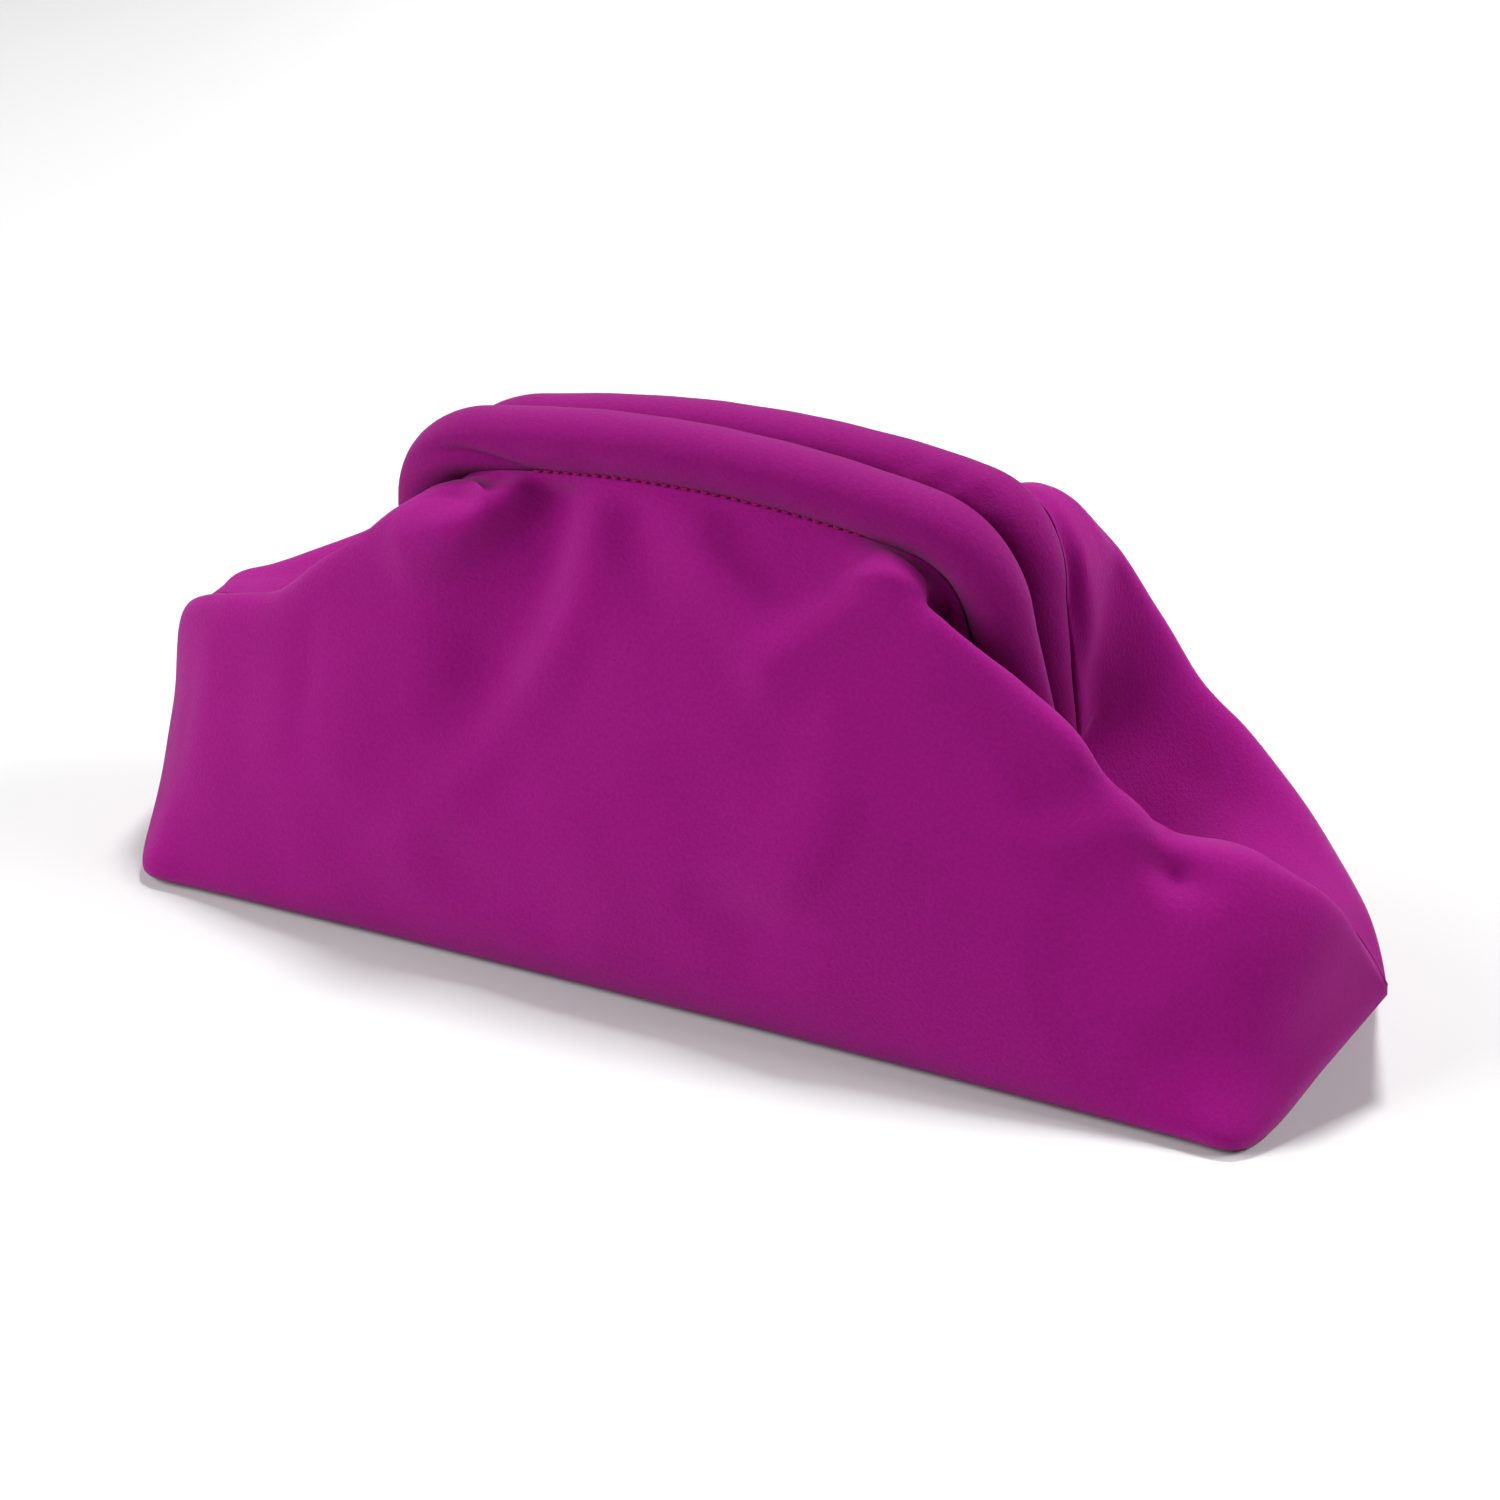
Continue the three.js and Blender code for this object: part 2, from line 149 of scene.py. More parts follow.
FRONT_FOLDS: tuple[Fold, ...] = (
    Fold("left lip", ((-95, 108), (-80, 118), (-67, 120)), (6, 5, 4.5), (1.5, 4, 3.5),
         reach=FoldReach.GATHER),
    Fold("left pleat", ((-55, 126), (-62, 117), (-82, 108)), (4.5, 5.5, 8), (6.5, 7.5, 3.6)),
    Fold("left valley", ((-42, 122), (-53, 80), (-82, 34)), (10, 15, 14), (-6, -9.4, -2.5), 1.8,
         FoldShape.CREASE),
    Fold("left ridge", ((-33, 119), (-40, 86), (-72, 40)), (7, 9.5, 10), (2.6, 4, 2.6)),
    Fold("left stripe", ((-112, 82), (-112, 65), (-110, 48)), (5, 5, 5), (-0.5, -0.8, -0.5)),
    Fold("dark streak", ((-20, 120), (-16, 113), (-12, 106)), (6, 6, 6), (-1.2, -1.3, -0.8)),
    Fold("drape left", ((-2, 120), (12, 107), (24, 97)), (7, 7, 8), (2.1, 2.6, 2)),
    Fold("drape right", ((25, 96), (38, 110), (50, 121)), (8, 9, 9), (2, 2.9, 3)),
    Fold("drape hollow", ((10, 117), (24, 115), (38, 118)), (7, 8, 7), (-1, -1.5, -1.2)),
    Fold("right lip", ((46, 119), (56, 119), (64, 118)), (7, 7, 5), (0.8, 1.6, 1.6), reach=FoldReach.GATHER),
    Fold("right pocket", ((60, 112), (68, 111), (77, 105)), (3.5, 5, 5), (-5, -11, -8),
         reach=FoldReach.GATHER),
    Fold("right swell", ((67, 113), (92, 98), (124, 69)), (5, 6.5, 5), (1.5, 2, 1)),
    Fold("soft ridge", ((45.6, 76), (42.6, 55), (36, 42.5)), (8, 8, 8), (2.2, 2.8, 2), 2.0),
    Fold("soft hollow", ((15, 34), (27, 35), (38.5, 36)), (8, 8, 8), (-1.2, -1.5, -1.2)),
    Fold("hollow", ((95, 76), (102, 78), (108, 80)), (8, 8, 8), (-1.2, -1.6, -1.2)),
    Fold("loop", ((89, 77), (95, 66.5), (117, 71)), (5.5, 5.5, 5.5), (0.8, 1.2, 1)),
    Fold("notch", ((126, 63.5), (132, 60.5), (139, 59.5)), (3.5, 4, 4.5), (-2, -4, -1.5)),
    Fold("low ridge", ((-97.5, 45.5), (-70, 24), (-18, 13)), (9, 9, 9), (0.6, 1.0, 0.6)),
    Fold("low valley", ((-67, 30), (-50.5, 23.5), (-31, 20)), (8, 8, 8), (-0.8, -1.2, -0.8)),
)

BACK_FOLDS: tuple[Fold, ...] = (
    Fold("left valley", ((-44, 120), (-53, 96), (-64, 66)), (9, 10, 12), (-4, -4.4, -3)),
    Fold("left ridge", ((-20, 118), (-29, 102), (-40, 84)), (9, 10, 11), (3, 3, 2.4)),
    Fold("right hollow", ((30, 112), (40, 88), (52, 60)), (11, 12, 13), (-3, -3, -2)),
    Fold("right swell", ((8, 114), (13, 100), (20, 84)), (10, 11, 12), (2.4, 2.4, 2)),
    Fold("bend swell", ((71, 127), (79, 117), (85, 98)), (6, 8.5, 8.5), (2.5, 7, 8), reach=FoldReach.GATHER),
    Fold("facet edge", ((94, 116), (93, 98), (92.5, 80)), (3.5, 4, 4), (-2, -3.5, -2), 0.6,
         FoldShape.CREASE, FoldReach.GATHER),
)


def ease(start: float, stop: float, value: Array) -> Array:
    """Smooth step: zero before start, one after stop, and 3t^2 - 2t^3 between them.

    Args:
        start: Value where the step begins.
        stop: Value where the step ends.
        value: Values to read the step at.

    Returns:
        The step's heights, in the shape of value.
    """
    share = np.clip((value - start) / (stop - start), 0.0, 1.0)
    return share * share * (3.0 - 2.0 * share)


def window(limits: Quad, value: Array) -> Array:
    """Smooth window: rises from the first limit to the second, and falls from the third to the fourth.

    Args:
        limits: The four limits in rising order.
        value: Values to read the window at.

    Returns:
        The window's heights, in the shape of value.
    """
    start, full, fall, stop = limits
    return ease(start, full, value) * (1.0 - ease(fall, stop, value))


def spline(points: Array, stations: Array) -> Array:
    """Smooth curve through points along the first axis, read at fractional stations.

    Each interval is spaced by the square root of its chord, and its curve is a pyramid of straight
    blends: neighbours pair by pair, then the pairs, then the two results.

    Args:
        points: Points of shape (n, ..., 3).
        stations: Places to read, from 0 to n - 1.

    Returns:
        Points of shape (len(stations), ..., 3).
    """
    first = 2.0 * points[:1] - points[1:2]
    last = 2.0 * points[-1:] - points[-2:-1]
    chain = np.concatenate([first, points, last])
    index = np.clip(np.floor(stations).astype(int), 0, len(points) - 2)
    share = (stations - index).reshape((-1,) + (1,) * (points.ndim - 1))
    near = [chain[index + k] for k in range(4)]
    gaps = [
        np.sqrt(np.maximum(np.linalg.norm(near[k + 1] - near[k], axis=-1, keepdims=True), LEAST_GAP))
        for k in range(3)
    ]
    knots = [np.zeros_like(gaps[0]), gaps[0], gaps[0] + gaps[1], gaps[0] + gaps[1] + gaps[2]]
    place = knots[1] + (knots[2] - knots[1]) * share

    def blend(a: Array, b: Array, start: Array, stop: Array) -> Array:
        """Straight blend of two rows of points by where the place lies between two knots."""
        return a + (b - a) * (place - start) / (stop - start)

    pairs = [blend(near[k], near[k + 1], knots[k], knots[k + 1]) for k in range(3)]
    upper = [blend(pairs[k], pairs[k + 1], knots[k], knots[k + 2]) for k in range(2)]
    return blend(upper[0], upper[1], knots[1], knots[2])


def stations_for(steps: tuple[int, ...]) -> Array:
    """Fractional stations with a number of even steps in each interval.

    Args:
        steps: Number of steps of each interval.

    Returns:
        Stations from 0 to len(steps).
    """
    parts = [k + np.arange(count) / count for k, count in enumerate(steps)]
    return np.concatenate(parts + [np.array([float(len(steps))])])


def run_lengths(points: Array, axis: int) -> Array:
    """Length run along one axis of a grid of points, from zero at its first line.

    Args:
        points: Grid of shape (m, n, 3).
        axis: 0 or 1.

    Returns:
        Lengths of shape (m, n).
    """
    steps = np.linalg.norm(np.diff(points, axis=axis), axis=-1)
    pad = [(0, 0), (0, 0)]
    pad[axis] = (1, 0)
    return np.cumsum(np.pad(steps, pad), axis=axis)


def relax(points: Array, passes: int, keep: Array) -> Array:
    """Evens out a grid: each point moves half way to the mean of its four neighbours.

    Args:
        points: Grid of shape (m, n, 3).
        passes: How many times to do it.
        keep: Share of the move that each point takes, of shape (m, n), zero on held edges.

    Returns:
        The evened grid.
    """
    for _ in range(passes):
        mean = points.copy()
        mean[1:-1, 1:-1] = 0.25 * (
            points[:-2, 1:-1] + points[2:, 1:-1] + points[1:-1, :-2] + points[1:-1, 2:]
        )
        points = points + 0.5 * keep[..., None] * (mean - points)
    return points


def make_piece(name: str, points: Array, faces: list[list[int]], corner_uv: Array) -> bpy.types.Object:
    """Makes a smooth-shaded mesh object at the origin from points in millimetres.

    Args:
        name: Plain name of the piece.
        points: Points of shape (n, 3).
        faces: Corners of each face, anticlockwise from outside.
        corner_uv: Cloth coordinates in metres, one row for each corner in the order of faces.

    Returns:
        The linked object.
    """
    mesh = bpy.data.meshes.new(name)
    mesh.from_pydata((points * MM).tolist(), [], faces)
    layer = mesh.uv_layers.new(name="cloth")
    layer.data.foreach_set("uv", corner_uv.astype(np.float32).ravel())
    mesh.polygons.foreach_set("use_smooth", np.ones(len(mesh.polygons), dtype=bool))
    mesh.update()
    piece = bpy.data.objects.new(name, mesh)
    bpy.context.scene.collection.objects.link(piece)
    return piece


def grid_corners(rows: int, columns: int, flip: bool) -> tuple[Array, Array]:
    """Corner rows and columns of every square of a grid.

    Args:
        rows: Lines along the first axis.
        columns: Lines along the second axis.
        flip: Whether to turn each square over.

    Returns:
        Two arrays of shape (squares, 4): the first-axis and second-axis number of each corner.
    """
    i, j = np.meshgrid(np.arange(rows - 1), np.arange(columns - 1), indexing="ij")
    first = np.stack([i, i + 1, i + 1, i], axis=-1).reshape(-1, 4)
    second = np.stack([j, j, j + 1, j + 1], axis=-1).reshape(-1, 4)
    if flip:
        return first[:, ::-1], second[:, ::-1]
    return first, second


@dataclass
class RollFrame:
    """The hinged frame's line: an arch, two rounded bends and two leaning legs, front and back."""

    top: float = 137.4
    arch_radius: float = 330
    arch_half: float = 62.5
    bend_radius: float = 24
    leg_lean: float = 9
    hinge_height: float = 68
    front_shift: float = -7.2
    back_shift: float = 0.8
    hinge_shift: float = -4.2
    front_shift_span: Pair = (0.6, 1.0)
    back_shift_span: Pair = (0.3, 0.75)
    back_tilt: float = 0.022
    tilt_until: float = 0.6
    round_until: float = 0.45
    half_height: float = 8.6
    roll_depth: float = 8.6
    hinge_depth: float = 4.6
    apart: float = 0.24
    clear: float = 0.1
    clear_points: int = 301
    clear_slip: float = 2.0
    clear_least: float = 0.2

    @cached_property
    def arch_turn(self) -> float:
        """Angle from the top of the arch to where the bend begins."""
        return math.asin(self.arch_half / self.arch_radius)

    @cached_property
    def leg_turn(self) -> float:
        """Angle of the leg's outward normal from upright."""
        return math.pi / 2 - math.radians(self.leg_lean)

    @cached_property
    def arch_length(self) -> float:
        """Length of half the arch."""
        return self.arch_radius * self.arch_turn

    @cached_property
    def bend_length(self) -> float:
        """Length of one bend."""
        return self.bend_radius * (self.leg_turn - self.arch_turn)

    @cached_property
    def bend_centre(self) -> Pair:
        """Middle of the right bend's circle.

        Returns:
            Its x and z.
        """
        end_z = self.top - self.arch_radius * (1 - math.cos(self.arch_turn))
        x = self.arch_half - self.bend_radius * math.sin(self.arch_turn)
        return x, end_z - self.bend_radius * math.cos(self.arch_turn)

    @cached_property
    def half_length(self) -> float:
        """Length from the top of the arch to the hinge.

        Returns:
            The arch's half, the bend and the leg together.
        """
        leg_start = self.bend_centre[1] + self.bend_radius * math.cos(self.leg_turn)
        leg = (leg_start - self.hinge_height) / math.sin(self.leg_turn)
        return self.arch_length + self.bend_length + leg

    def centre_line(self, along: Array, face: Face) -> tuple[Array, Array]:
        """Centre line of a roll and its outward normal, in the upright plane.

        The arch and the bend are circles, R(sin t, cos t) about their centres, and the leg runs
        straight on. The front line is shifted left, the back one is a little higher on the right,
        and both meet at the hinge.

        Args:
            along: Length from the middle, below zero on the left.
            face: Which roll.

        Returns:
            Points (x, z) and normals (x, z), each of shape along.shape + (2,).
        """
        side = np.where(along < 0, -1.0, 1.0)
        run = np.minimum(np.abs(along), self.half_length)
        on_arch = run <= self.arch_length
        bend_turn = self.arch_turn + (run - self.arch_length) / self.bend_radius
        turn = np.where(on_arch, run / self.arch_radius, np.minimum(bend_turn, self.leg_turn))
        down = np.maximum(run - self.arch_length - self.bend_length, 0.0)
        bend_x, bend_z = self.bend_centre
        x = np.where(
            on_arch,
            self.arch_radius * np.sin(turn),
            bend_x + self.bend_radius * np.sin(turn) + down * math.cos(self.leg_turn),
        )
        z = np.where(
            on_arch,
            self.top - self.arch_radius * (1 - np.cos(turn)),
            bend_z + self.bend_radius * np.cos(turn) - down * math.sin(self.leg_turn),
        )
        in_front = face is Face.FRONT
        own = self.front_shift if in_front else self.back_shift
        start, stop = self.front_shift_span if in_front else self.back_shift_span
        shift = own + (self.hinge_shift - own) * ease(start * self.half_length, stop * self.half_length, run)
        tilt = 0.0 if in_front else self.back_tilt
        rise = tilt * side * x * (1.0 - ease(self.tilt_until * self.half_length, self.half_length, run))
        points = np.stack([side * x + shift, z + rise], axis=-1)
        return points, np.stack([side * np.sin(turn), np.cos(turn)], axis=-1)

    def depth_at(self, along: Array) -> Array:
        """Half depth of a roll: round on the arch, flatter towards the hinge."""
        share = ease(self.round_until * self.half_length, self.half_length, np.abs(along))
        return self.roll_depth + (self.hinge_depth - self.roll_depth) * share

    def beside(self, along: Array, turn: Array, face: Face, off: float) -> Array:
        """Points a little way off a roll.

        Args:
            along: Length from the middle, below zero on the left.
            turn: Degrees round the roll: 0 is the underside, 90 the outer face, 180 the top.
            face: Which roll.
            off: Distance off the roll.

        Returns:
            Points of shape along.shape + (3,).
        """
        line, normal = self.centre_line(along, face)
        depth = self.depth_at(along)
        drop = (self.half_height + off) * np.cos(np.radians(turn))
        out = depth + self.apart / 2 + (depth + off) * np.sin(np.radians(turn))
        flat = line - normal * drop[..., None]
        return np.stack([flat[..., 0], face.value * out, flat[..., 1]], axis=-1)

    def push_clear(self, points: Array, face: Face) -> Array:
        """Moves points that lie in a roll straight out to its clearance.

        A point's place across the roll is its height along the normal and its depth, each divided
        by the roll's half size. Inside the oval of size one it is scaled out to it.

        Args:
            points: Points of shape (..., 3).
            face: Which roll.

        Returns:
            The points, those inside moved out.
        """
        along = np.linspace(-self.half_length, self.half_length, self.clear_points)
        line, normal = self.centre_line(along, face)
        flat = points.reshape(-1, 3)
        nearest = np.argmin(np.sum(np.square(flat[:, None, [0, 2]] - line[None]), axis=-1), axis=1)
        depth = self.depth_at(along)[nearest]
        away = flat[:, [0, 2]] - line[nearest]
        up = normal[nearest]
        lift = np.sum(away * up, axis=-1)
        slip = np.abs(away[:, 0] * up[:, 1] - away[:, 1] * up[:, 0])
        across = flat[:, 1] - face.value * (depth + self.apart / 2)
        reach = np.hypot(lift / (self.half_height + self.clear), across / (depth + self.clear))
        inside = (reach < 1.0) & (slip < self.clear_slip)
        grow = np.where(inside, 1.0 / np.maximum(reach, self.clear_least) - 1.0, 0.0)
        moved = flat.copy()
        moved[:, [0, 2]] += up * (lift * grow)[:, None]
        moved[:, 1] += across * grow
        return moved.reshape(points.shape)


@dataclass
class ClothPanel:
    """One gathered panel of the bag: a lofted sheet with folds and a wall that thins at both tips."""

    face: Face
    roll: RollFrame
    folds: tuple[Fold, ...]
    holds: tuple[Triple, ...]
    wall: float = 1.2
    seam_gap: float = 0.3
    base_half_depth: float = 47
    edge_inset: float = 4
    edge_bulge: float = 0.8
    edge_rise: float = 3.4
    end_turn: float = 60
    end_turn_from: float = 100
    end_turn_to: float = 165
    low_belly: float = 1.25
    low_at: float = 0.3
    high_at: float = 0.68
    tip_inset: float = 2.6
    tip_height: float = 1.0
    tip_wall: float = 0.1
    tip_sections: float = 1.5
    ripple: float = 0.12
    ripple_waves: tuple[Triple, ...] = ((0.13, 0.07, 0), (0.09, -0.17, 1.3), (0.21, 0.11, 2.1))
    true_level: int = 4
    fold_points: int = 33
    fold_passes: int = 3
    fold_levels: Quad = (1.9, 2.6, 6.3, 7.0)
    gather_levels: Pair = (5.0, 5.5)
    crease_round: float = 0.25
    skew_blend: float = 0.5
    end_passes: int = 90
    end_sections: Quad = (6.8, 7.8, 10.8, 11.8)
    end_levels: Quad = (2.2, 2.9, 5.4, 6.2)
    section_steps: tuple[int, ...] = (24, 22, 18, 14, 13, 12, 12, 12, 12, 8, 12, 10)
    level_steps: tuple[int, ...] = (6, 5, 16, 20, 16, 14, 12)
    sections: tuple[Section, ...] = SECTIONS

    def slice_points(self, index: int, side: int) -> Array:
        """Control points of one section, from the bottom seam round the face to the upper edge.

        The seam, edge and rise points turn the base into the wall. Two points in a straight line
        from there to the crest are pushed out by the belly, the upper one by the crown as well, and
        the one behind the crest sinks.

        Args:
            index: Number of the section from the middle of the bag.
            side: -1 for the left half, 1 for the right.

        Returns:
            Eight points of shape (8, 3).
        """
        part = self.sections[index]
        sign = np.array([side, self.face.value, 1.0])
        foot_x, foot_y, foot_z = part.foot
        full = foot_y / self.base_half_depth
        at_back = self.face is Face.BACK
        quarter = 2 * int(at_back) + int(side > 0)
        crest = sign * [part.crest_x, part.crest_depth[int(at_back)], part.crest_height[quarter]]
        seam = sign * [foot_x, self.seam_gap / 2, foot_z]
        edge = sign * [foot_x, foot_y - self.edge_inset * full, foot_z]
        rise = sign * [foot_x, foot_y + self.edge_bulge * full, foot_z + self.edge_rise * full]
        turn = math.radians(self.end_turn) * ease(self.end_turn_from, self.end_turn_to, part.crest_x)
        outward = sign * [np.sin(turn), np.cos(turn), 0.0]
        belly = part.belly[int(side > 0)]
        crown = belly + part.crown[int(side > 0)]
        low = rise + (crest - rise) * self.low_at + outward * belly * self.low_belly
        high = rise + (crest - rise) * self.high_at + outward * crown
        top = self.upper_edge(index, side)
        behind = 0.5 * (crest + top) - np.array([0.0, 0.0, part.dip[quarter]])
        return np.stack([seam, edge, rise, low, high, crest, behind, top])

    def upper_edge(self, index: int, side: int) -> Array:
        """Upper end of a section, beside the roll or on the side seam.

        Args:
            index: Number of the section from the middle of the bag.
            side: -1 for the left half, 1 for the right.

        Returns:
            One point of shape (3,).
        """
        if index < len(self.holds):
            along, left_turn, right_turn = self.holds[index]
            turn = np.array(left_turn if side < 0 else right_turn)
            return self.roll.beside(np.array(side * float(along)), turn, self.face, self.roll.clear)
        left_x, right_x, left_z, right_z = SIDE_SEAM[index - len(self.holds)]
        x, z = (-left_x, left_z) if side < 0 else (right_x, right_z)
        return np.array([x, self.face.value * self.seam_gap / 2, z])

    def normals(self, grid: Array) -> Array:
        """Outward unit normals of a grid, from the cross product of its two slopes.

        Args:
            grid: Points of shape (m, n, 3).

        Returns:
            Normals of the same shape.
        """
        across = np.gradient(grid, axis=0)
        up = np.gradient(grid, axis=1)
        normal = np.cross(across, up) * -self.face.value
        return normal / np.maximum(np.linalg.norm(normal, axis=-1, keepdims=True), LEAST_NORMAL)

    def smooth_sheet(self) -> tuple[Array, Array, Array]:
        """The sheet before it is folded: splines up each section, then across the sections.

        Returns:
            The grid of shape (columns, rows, 3), and the section and level of its lines.
        """
        last = len(self.sections) - 1
        control = np.stack([self.slice_points(abs(k), -1 if k < 0 else 1) for k in range(-last, last + 1)])
        level = stations_for(self.level_steps)
        half = stations_for(self.section_steps)
        section = np.concatenate([-half[:0:-1], half])
        ribs = spline(control.transpose(1, 0, 2), level)
        grid = spline(ribs.transpose(1, 0, 2), section + last)
        hold = np.array(self.holds, dtype=float)
        number, place = np.arange(len(hold)), np.abs(section)
        on_frame = place <= len(hold) - 1
        along, left_turn, right_turn = (np.interp(place, number, column) for column in hold.T)
        turn = np.where(section < 0, left_turn, right_turn)
        held = self.roll.beside(np.sign(section) * along, turn, self.face, self.roll.clear)
        grid[on_frame, -1] = held[on_frame]
        return grid, section, level

    def fold_height(self, grid: Array, fold: Fold) -> Array:
        """Outward height of one fold over a grid.

        The nearest place on the fold's curve, seen from the front, gives the distance d and the
        width w there, which the skew multiplies on the right side. A soft fold is exp(-(d/w)^2),
        and a crease is exp(-|d|/w) with a rounded point.

        Args:
            grid: Points of shape (m, n, 3).
            fold: The fold.

        Returns:
            Heights of shape (m, n).
        """
        t = np.linspace(0.0, 1.0, self.fold_points)
        weights = np.stack([(2 * t - 1) * (t - 1), 4 * t * (1 - t), t * (2 * t - 1)], axis=-1)
        path = weights @ np.array(fold.path, dtype=float)
        width = np.interp(t, [0, 0.5, 1], fold.width)
        height = np.interp(t, [0, 0.5, 1], fold.height)
        away = grid[:, :, None, [0, 2]] - path
        far = np.sum(np.square(away), axis=-1)
        nearest = np.argmin(far, axis=-1)
        distance = np.sqrt(np.take_along_axis(far, nearest[..., None], axis=-1)[..., 0])
        heading = np.gradient(path, axis=0)[nearest]
        offset = np.take_along_axis(away, nearest[..., None, None], axis=2)[..., 0, :]
        across = heading[..., 1] * offset[..., 0] - heading[..., 0] * offset[..., 1]
        lean = across / np.maximum(np.linalg.norm(heading, axis=-1) * distance, LEAST_GAP)
        w = width[nearest] * (1.0 + (fold.skew - 1.0) * ease(-self.skew_blend, self.skew_blend, lean))
        if fold.shape is FoldShape.CREASE:
            blunt = self.crease_round * w
            return height[nearest] * np.exp(-(np.hypot(distance, blunt) - blunt) / w)
        return height[nearest] * np.exp(-np.square(distance / w))

    def outer_sheet(self) -> tuple[Array, Array]:
        """Outer surface: the smooth sheet moved along its normals by all folds and a faint ripple.

        The right end is evened out first, where the face turns into the end without an edge. Folds
        fade in above the base and out at the frame. The ripple is a sum of three slow sines, each
        with its rates in x and z and its start.

        Returns:
            The folded grid and the normals of the smooth one.
        """
        grid, section, level = self.smooth_sheet()
        at_end = window(self.end_sections, section)
        on_wall = window(self.end_levels, level)
        grid = relax(grid, self.end_passes, at_end[:, None] * on_wall[None, :])
        normal = self.normals(grid)
        fade = window(self.fold_levels, level)
        reach = {FoldReach.WHOLE: fade, FoldReach.GATHER: fade * ease(*self.gather_levels, level)}
        height = np.zeros(grid.shape[:2])
        for fold in self.folds:
            height += reach[fold.reach][None, :] * self.fold_height(grid, fold)
        x, z = grid[..., 0], grid[..., 2]
        wave = sum(np.sin(in_x * x + in_z * z + start) for in_x, in_z, start in self.ripple_waves)
        height += self.ripple * fade[None, :] * wave
        folded = grid + normal * height[..., None]
        tips = np.minimum(1.0, (len(self.sections) - 1 - np.abs(section)) / self.tip_sections)
        folded = relax(folded, self.fold_passes, tips[:, None] * fade[None, :])
        folded = self.roll.push_clear(folded, self.face)
        return self.keep_side(folded), normal

    def keep_side(self, grid: Array) -> Array:
        """Keeps points on the panel's own side of the seam and above the base.

        Args:
            grid: Points of shape (m, n, 3).

        Returns:
            The points, those beyond moved back.
        """
        kept = grid.copy()
        kept[..., 1] = self.face.value * np.maximum(self.face.value * grid[..., 1], self.seam_gap / 2)
        kept[..., 2] = np.maximum(grid[..., 2], 0.0)
        return kept

    def inner_sheet(self, outer: Array, normal: Array) -> Array:
        """Inner surface: the outer one moved in by the wall, thinner towards the tips.

        Args:
            outer: Outer grid of shape (m, n, 3).
            normal: Normals of the smooth sheet.

        Returns:
            Inner grid of the same shape, flush with the outer one at the seams.
        """
        columns, rows = outer.shape[:2]
        from_tip = np.minimum(np.arange(columns), np.arange(columns)[::-1])
        side = np.where(np.arange(columns) < columns // 2, -1.0, 1.0)
        tapered = sum(self.section_steps[-2:])
        thick = self.wall * np.minimum(1.0, self.tip_wall + (1.0 - self.tip_wall) * from_tip / tapered)
        inner = outer - normal * thick[:, None, None]
        past = from_tip < np.sum(self.section_steps[len(self.holds) - 1:])
        inner[past, -1] = outer[past, -1] - np.array([0.0, 0.0, 1.0]) * thick[past, None]
        inner = self.roll.push_clear(inner, self.face)
        inner[:, 0, 1] = self.face.value * self.seam_gap / 2
        inner[..., 1] = self.face.value * np.maximum(self.face.value * inner[..., 1], self.seam_gap / 2)
        share = np.arange(rows) / (rows - 1) - 0.5
        for end in (0, columns - 1):
            middle = 0.5 * (outer[end, 0, 2] + outer[end, -1, 2])
            inner[end, :, 0] = outer[end, :, 0] - side[end] * self.tip_inset
            inner[end, :, 1] = self.face.value * self.seam_gap / 2
            inner[end, :, 2] = middle + self.tip_height * share
        return inner

    def build(self) -> bpy.types.Object:
        """Makes the panel: outer and inner sheets as one closed loop of rows, shut at both tips.

        Cloth coordinates are the length up from the bottom seam, and across it the mean of a row's
        own length and that of the row at the true level.

        Returns:
            The panel's object.
        """
        outer, normal = self.outer_sheet()
        inner = self.inner_sheet(outer, normal)
        columns, rows = outer.shape[:2]
        ring = np.concatenate([outer, inner[:, ::-1]], axis=1)
        run = run_lengths(outer, 1)
        across = run_lengths(outer, 0)
        across = across - across[columns // 2]
        middle_row = int(np.sum(self.level_steps[:self.true_level]))
        u = 0.5 * (across + across[:, middle_row][:, None])
        uv = np.stack([u, run], axis=-1) * MM
        uv = np.concatenate([uv, uv[:, ::-1], uv[:, :1]], axis=1)
        around = 2 * rows
        flip = self.face is Face.BACK
        i, j = grid_corners(columns, around + 1, flip)
        faces = (i * around + j % around).tolist()
        corner_uv = uv[i, j].reshape(-1, 2)
        k = np.arange(rows - 1)
        shut = np.stack([k, k + 1, around - 2 - k, around - 1 - k], axis=-1)
        left = shut[:, ::-1] if flip else shut
        right = (shut if flip else shut[:, ::-1]) + (columns - 1) * around
        ends = np.concatenate([left, right])
        faces += ends.tolist()
        corner_uv = np.concatenate([corner_uv, uv[:, :-1].reshape(-1, 2)[ends].reshape(-1, 2)])
        name = "front_cloth" if self.face is Face.FRONT else "back_cloth"
        return make_piece(name, ring.reshape(-1, 3), faces, corner_uv)

    def dress(self, piece: bpy.types.Object, material: bpy.types.Material, rests_on: list[str]) -> None:
        """Gives the panel its cloth, fixes it to the root body and hides the CAD panel it stands in for.

        Args:
            piece: The panel's object.
            material: The panel cloth.
            rests_on: Names of the pieces that it hangs from. Not used.
        """
        piece.data.materials.append(material)
        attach(piece, "root")
        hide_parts("front_panel" if self.face is Face.FRONT else "back_panel")


@dataclass(frozen=True)
class Dent:
    """A soft dent pressed into a roll: where, how long and wide, and how deep.

    A long one can lean: its turn then changes by so many degrees for each millimetre along the roll.
    """

    along: float
    turn: float
    length: float
    width: float
    depth: float
    lean: float = 0.0


FRONT_DENTS: tuple[Dent, ...] = (
    Dent(-62, 76, 13, 1.9, 2.6, -2.1),
)

BACK_DENTS: tuple[Dent, ...] = (
    Dent(44, 230, 5, 4, 0.8),
    Dent(56, 235, 4, 4, 1.1),
    Dent(66, 240, 4, 4, 1.0),
)


